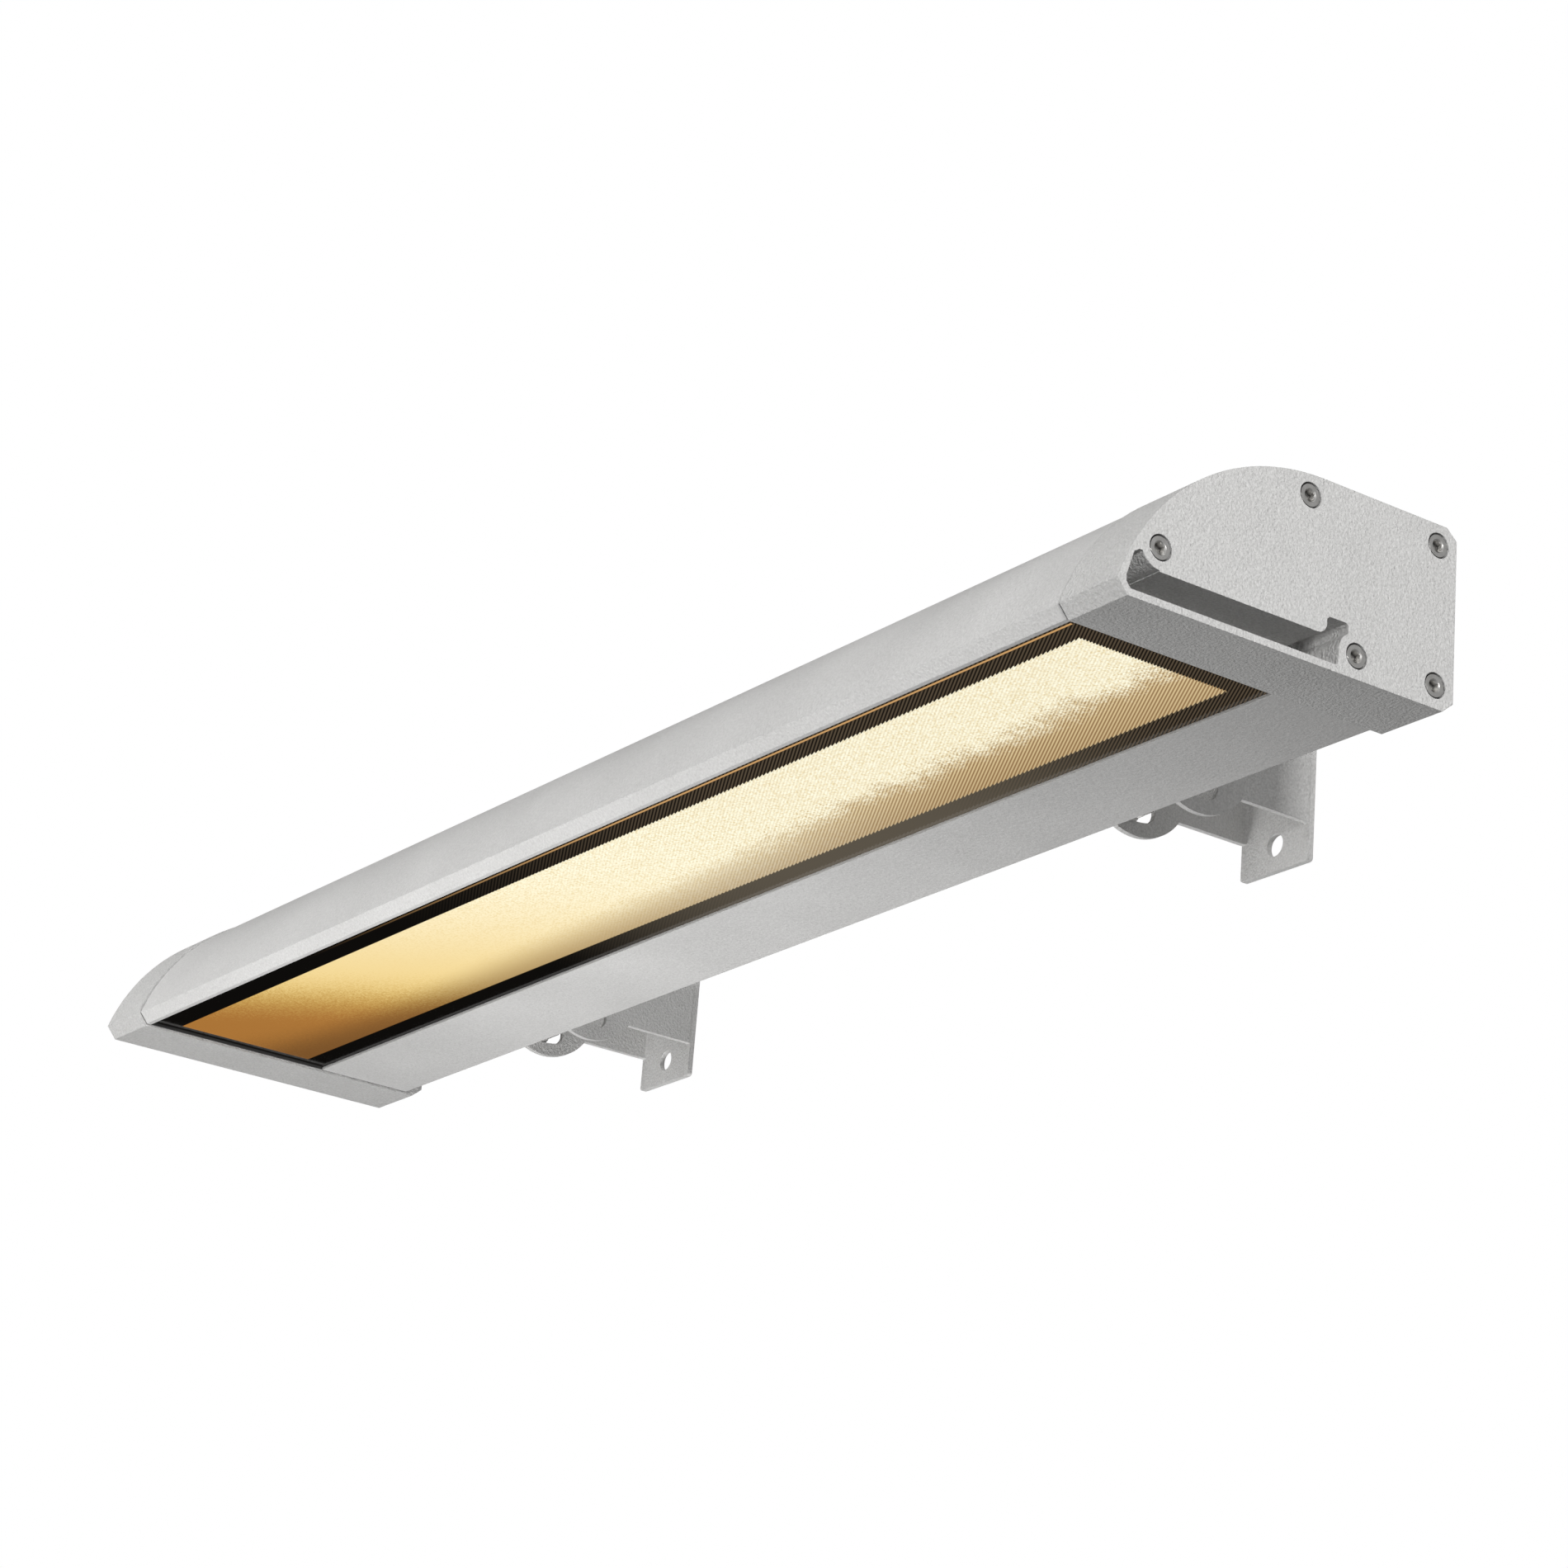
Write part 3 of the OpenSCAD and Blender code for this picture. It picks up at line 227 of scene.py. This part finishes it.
plainLooks = {
    "rubber": {
        "grain": 0.4 * mm, "patch": 8 * mm,
        "dark": (0.018, 0.018, 0.018), "pale": (0.04, 0.039, 0.037),
        "rough": 0.65, "roughSpread": 0.2, "relief": 0.03 * mm, "edge": 0.2 * mm,
    },
    "blackPlastic": {
        "grain": 0.5 * mm, "patch": 6 * mm,
        "dark": (0.02, 0.02, 0.021), "pale": (0.035, 0.035, 0.036),
        "rough": 0.45, "roughSpread": 0.15, "relief": 0.03 * mm, "edge": 0.4 * mm,
    },
    "whitePlastic": {
        "grain": 0.6 * mm, "patch": 12 * mm,
        "dark": (0.68, 0.68, 0.66), "pale": (0.76, 0.76, 0.74),
        "rough": 0.4, "roughSpread": 0.15, "relief": 0.02 * mm, "edge": 0.5 * mm,
    },
    "board": {
        "grain": 0.3 * mm, "patch": 5 * mm,
        "dark": (0.78, 0.78, 0.74), "pale": (0.85, 0.85, 0.82),
        "rough": 0.35, "roughSpread": 0.1, "relief": 0.01 * mm, "edge": 0.1 * mm,
    },
    "chip": {
        "grain": 0.2 * mm, "patch": 1 * mm,
        "dark": (0.8, 0.6, 0.16), "pale": (0.9, 0.72, 0.25),
        "rough": 0.3, "roughSpread": 0.1, "relief": 0.01 * mm, "edge": 0.1 * mm,
    },
    "lens": {
        "grain": 0.5 * mm, "patch": 10 * mm,
        "dark": (0.92, 0.94, 0.94), "pale": (0.96, 0.97, 0.97),
        "rough": 0.05, "roughSpread": 0.05, "relief": 0.01 * mm, "edge": 0.2 * mm, "clear": 1.0,
    },
    "terminal": {
        "grain": 0.4 * mm, "patch": 6 * mm,
        "dark": (0.6, 0.57, 0.47), "pale": (0.68, 0.65, 0.55),
        "rough": 0.45, "roughSpread": 0.1, "relief": 0.02 * mm, "edge": 0.3 * mm,
    },
    "leadSheath": {
        "grain": 0.5 * mm, "patch": 9 * mm,
        "dark": (0.03, 0.03, 0.03), "pale": (0.05, 0.05, 0.05),
        "rough": 0.5, "roughSpread": 0.15, "relief": 0.03 * mm, "edge": 0.1 * mm,
    },
}

# The lit glass. Its near end is at +X, and distances run from there and from its front edge.
glassLook = {
    # Printed border and the lit window inside it
    "nearBorder": 12.1 * mm, "farBorder": 5.5 * mm, "frontBorder": 14.6 * mm,
    "rearBorder": 12.4 * mm, "softEdge": 0.5 * mm,
    # Slanted ribs, which fade out towards the far end
    "ribPitch": 1.25 * mm, "ribTurn": 28.9, "ribTooth": 0.5 * mm, "ribFade": (0.3, 0.7),
    "ribOnPale": 0.2, "ribOnBeige": 0.62,
    # Pale light, and the wavy line behind which it is beige
    "cream": (0.84, 0.71, 0.43), "hot": (1.05, 1.02, 0.82), "hotFade": (0.3, 0.62),
    "sparkle": 1.1 * mm, "wave": 16 * mm,
    "lineStart": 0.56, "lineSlope": 0.22, "lineWave": 0.35, "lineFray": 0.45,
    "lineBlend": (-0.1, 0.14),
    "beige": (0.75, 0.59, 0.33), "beigeFade": (0.18, 0.5), "beigeLoss": 0.7,
    # Colours towards the far end
    "farLean": 0.1, "farFray": 0.12,
    "golden": (0.86, 0.65, 0.28), "goldenFade": (0.42, 0.83),
    "deep": (0.62, 0.4, 0.1), "deepFade": (0.76, 0.88),
    "amber": (0.36, 0.14, 0.02), "amberFade": (0.81, 0.93),
    "brown": (0.15, 0.05, 0.005), "brownFade": (1.05, 1.3), "brownLean": 0.25,
    # Shade along the rear edge of the window, which grows towards the far end
    "shadeFade": (0.6, 1.05), "shadeNear": 0.2, "shadeGrowth": 0.62,
    # Light on the border: its ribs, its rear side and the thin line along its front
    "unlit": (0, 0, 0), "borderRib": (0.095, 0.07, 0.045),
    "rearTone": (0.1, 0.084, 0.062), "rearRise": (0.06, 0.3), "rearFall": (0.4, 0.68),
    "rim": (0.58, 0.33, 0.13), "rimMiddle": 4.5 * mm, "rimWidth": 1.1 * mm,
    "rimStart": 4 * mm, "rimFade": (0.35, 0.8),
    # Surface
    "printed": (0.003, 0.0025, 0.002), "windowTone": (0.05, 0.04, 0.02),
    "strength": 1.0, "rough": 0.12, "shine": 0.12, "relief": 0.02 * mm, "edge": 0.3 * mm,
}
glassLow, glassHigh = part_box("glass")
glassLength = glassHigh.x - glassLow.x
glassWidth = glassHigh.y - glassLow.y
windowAlong = (glassLook["nearBorder"], glassLength - glassLook["farBorder"])
windowAcross = (glassLook["frontBorder"], glassWidth - glassLook["rearBorder"])


# Sockets that say where a point lies on the glass.
# along and back run from 0 at the near or front edge of the lit window to 1 at its far or rear
# edge, and alongAll does so over the whole glass. ribWave runs from -1 to 1, ribDark from 0 to 1.
def glassPlaces(made):
    look = glassLook
    coords = made.place()
    x, y = made.axes(coords)[:2]
    fromNear = made.less(glassHigh.x, x)
    fromFront = made.less(y, glassLow.y)
    alongAll = made.maths("DIVIDE", fromNear, glassLength)
    turn = math.radians(look["ribTurn"])
    across = made.less(made.times(fromFront, math.cos(turn)), made.times(fromNear, math.sin(turn)))
    rib = made.maths("SINE", made.times(across, 2 * math.pi / look["ribPitch"]))
    ribHere = made.falls(alongAll, *look["ribFade"])
    return {
        "fromNear": fromNear,
        "fromFront": fromFront,
        "alongAll": alongAll,
        "along": made.rises(fromNear, *windowAlong, kind="LINEAR"),
        "back": made.rises(fromFront, *windowAcross, kind="LINEAR"),
        "ribWave": made.times(rib, ribHere),
        "ribDark": made.times(made.line(rib, 0.5, 0.5), ribHere),
        "sparkle": made.noise(coords, look["sparkle"], rough=0.8),
        "wave": made.noise(coords, look["wave"], detail=3.0, rough=0.7),
    }


# 1 in the lit window and 0 on the border, with an edge that the ribs make toothed.
def glassWindow(made, at):
    soft = glassLook["softEdge"]
    tooth = made.times(at["ribWave"], glassLook["ribTooth"])

    def inside(distance, start, end):
        shifted = made.maths("ADD", distance, tooth)
        return made.times(made.rises(shifted, start - soft, start),
                          made.falls(shifted, end, end + soft))

    return made.times(inside(at["fromNear"], *windowAlong), inside(at["fromFront"], *windowAcross))


# Colour of the lit window: painted light, with painted hot spots and painted shade.
def glassLight(made, at):
    look = glassLook
    along, back = at["along"], at["back"]
    sparkle = made.less(at["sparkle"], 0.5)
    # The pale reflector ends at a wavy line, behind which the light is beige at the near end
    line = made.line(along, look["lineSlope"], look["lineStart"])
    line = made.line(made.less(at["wave"], 0.5), look["lineWave"], line)
    line = made.line(sparkle, look["lineFray"], line)
    behind = made.rises(made.less(back, line), *look["lineBlend"])
    beigeHere = made.line(made.rises(along, *look["beigeFade"]), -look["beigeLoss"], 1.0)
    behind = made.times(behind, beigeHere)
    pale = made.mix(made.rises(at["sparkle"], *look["hotFade"]), look["cream"], look["hot"])
    colour = made.mix(behind, pale, look["beige"])
    # Towards the far end it turns golden, amber and, in the rear corner, brown
    far = made.line(made.less(back, 0.5), look["farLean"], along)
    far = made.line(sparkle, look["farFray"], far)
    for name in ("golden", "deep", "amber"):
        colour = made.mix(made.rises(far, *look[name + "Fade"]), colour, look[name])
    corner = made.line(back, look["brownLean"], far)
    colour = made.mix(made.rises(corner, *look["brownFade"]), colour, look["brown"])
    # The rear edge is darker with painted shade, and the ribs are darker too
    growth = made.line(along, look["shadeGrowth"], look["shadeNear"])
    shade = made.times(made.rises(back, *look["shadeFade"]), growth)
    colour = made.mix(shade, colour, look["brown"])
    ribShade = made.times(at["ribDark"], made.line(behind, look["ribOnBeige"], look["ribOnPale"]))
    return made.mix(ribShade, colour, look["brown"])


# Light on the printed border: ribs near the near end, a paler rear side and the rim line.
def glassBorder(made, at):
    look = glassLook
    alongAll, fromFront = at["alongAll"], at["fromFront"]
    colour = made.mix(at["ribDark"], look["unlit"], look["borderRib"])
    rear = made.times(made.rises(alongAll, *look["rearRise"]),
                      made.falls(alongAll, *look["rearFall"]))
    rear = made.times(rear, made.maths("GREATER_THAN", fromFront, glassWidth / 2))
    colour = made.mix(rear, colour, look["rearTone"])
    offLine = made.maths("ABSOLUTE", made.less(fromFront, look["rimMiddle"]))
    rim = made.maths("LESS_THAN", offLine, look["rimWidth"] / 2)
    rim = made.times(rim, made.maths("GREATER_THAN", at["fromNear"], look["rimStart"]))
    rim = made.times(rim, made.falls(alongAll, *look["rimFade"]))
    return made.mix(rim, colour, look["rim"])


# Glass with a printed border, and the warm light of the reflectors behind it painted on as the
# glass's own glow.
def litGlass():
    look = glassLook
    material, made, shader = newMaterial("litGlass")
    at = glassPlaces(made)
    window = glassWindow(made, at)
    glow = made.mix(window, glassBorder(made, at), glassLight(made, at))
    normal = roundedNormal(made, at["ribWave"], look["relief"], look["edge"])
    made.feed(shader.inputs["Base Color"], made.mix(window, look["printed"], look["windowTone"]))
    made.feed(shader.inputs["Emission Color"], glow)
    made.feed(shader.inputs["Emission Strength"], look["strength"])
    made.feed(shader.inputs["Roughness"], look["rough"])
    made.feed(shader.inputs["Specular IOR Level"], look["shine"])
    made.feed(shader.inputs["Normal"], normal)
    return material


# Which nodes take which material
nodeMaterials = {
    "capPaint": ["end_cap_left", "end_cap_right"],
    "casePaint": ["case"],
    "bracketPaint": [
        "wall_bracket_left", "wall_bracket_right", "hinge_plate_left", "hinge_plate_right",
    ],
    "steel": [
        "cap_screws_left", "cap_screws_right", "groove_screws", "groove_nuts", "tray_screws",
        "lock_bolts", "lock_washers", "lock_nuts", "pivot_bolts", "pivot_washers", "pivot_nuts",
    ],
    "sheetMetal": ["reflector_front", "reflector_rear", "driver_tray"],
    "rubber": ["end_seal_left", "end_seal_right", "glass_seal", "gland_seal"],
    "blackPlastic": ["gland_body", "gland_ring_nut", "gland_dome_nut", "friction_rings"],
    "whitePlastic": ["driver"],
    "board": ["lamp_boards"],
    "chip": ["lamp_chips"],
    "lens": ["lens_bars"],
    "terminal": ["terminal_block"],
    "leadSheath": ["inner_leads"],
    "litGlass": ["glass"],
}


def dressNodes():
    built = {
        "capPaint": paint("capPaint", capPaintLook),
        "casePaint": paint("casePaint", casePaintLook),
        "bracketPaint": paint("bracketPaint", bracketPaintLook),
        "steel": metal("steel", steelLook),
        "sheetMetal": metal("sheetMetal", sheetMetalLook),
        "litGlass": litGlass(),
    }
    for name, look in plainLooks.items():
        built[name] = plain(name, look)
    for name, members in nodeMaterials.items():
        for member in members:
            slots = nodes[member].data.materials
            slots.clear()
            slots.append(built[name])


makeCamera()
print("stage: camera set")
dressNodes()
print("stage: nodes dressed")

# Light: a soft room that is darker on the wall's side, and lamps that the camera doesn't see
roomLook = {
    "base": 0.16, "fromRight": 0.28, "fromBack": -0.05, "fromAbove": 0.08, "least": 0.01,
    "backdrop": 1.0,
}


# The camera sees white. The room's light is a base plus a share for each side.
def makeRoom():
    world = bpy.data.worlds.new("room")
    bpy.context.scene.world = world
    world.use_nodes = True
    world.node_tree.nodes.clear()
    made = Nodes(world.node_tree)
    x, y, z = made.axes(made.add("ShaderNodeTexCoord").outputs["Generated"])
    level = made.line(x, roomLook["fromRight"], roomLook["base"])
    level = made.line(y, roomLook["fromBack"], level)
    level = made.line(z, roomLook["fromAbove"], level)
    seen = made.add("ShaderNodeLightPath").outputs["Is Camera Ray"]
    room = made.times(made.maths("MAXIMUM", level, roomLook["least"]), made.less(1.0, seen))
    total = made.line(seen, roomLook["backdrop"], room)
    back = made.add("ShaderNodeBackground", {"Color": (1, 1, 1), "Strength": total})
    made.add("ShaderNodeOutputWorld", {"Surface": back})


# Each lamp: its place, the point that it aims at, the length of its sides, and its level,
# which is how bright it makes a white card at that point
lamps = [
    {"name": "keyRightFront", "at": (2.7, -1.2, 0.05), "aim": (0.35, -0.15, 0),
     "size": 0.45, "level": 1.0},
    {"name": "fillLeftFront", "at": (-1.4, -1.7, 0.25), "aim": (-0.2, -0.15, 0),
     "size": 0.9, "level": 0.56},
    {"name": "frontBelow", "at": (-0.9, -2.1, -0.7), "aim": (-0.15, -0.15, 0),
     "size": 1.0, "level": 0.29},
    {"name": "belowMiddle", "at": (-0.08, -0.18, -0.54), "aim": (-0.08, -0.15, 0),
     "size": 0.3, "level": 1.0},
    {"name": "back", "at": (-1.0, 2.2, 0.9), "aim": (0.0, -0.1, 0),
     "size": 1.2, "level": 0.62},
    {"name": "top", "at": (0.1, -0.9, 2.2), "aim": (0.0, -0.15, 0),
     "size": 1.2, "level": 0.35},
]


def makeLamps():
    for lamp in lamps:
        data = bpy.data.lights.new(lamp["name"], "AREA")
        data.size = lamp["size"]
        way = Vector(lamp["aim"]) - Vector(lamp["at"])
        # At this power a white card is as bright as power / (pi * distance)^2, its level
        data.energy = lamp["level"] * math.pi ** 2 * way.length_squared
        turn = way.to_track_quat("-Z", "Y").to_matrix().to_4x4()
        obj = bpy.data.objects.new(lamp["name"], data)
        obj.matrix_world = Matrix.Translation(lamp["at"]) @ turn
        obj.visible_camera = False
        bpy.context.scene.collection.objects.link(obj)


makeRoom()
makeLamps()
bpy.context.scene.view_settings.view_transform = "Standard"
print("stage: light made")
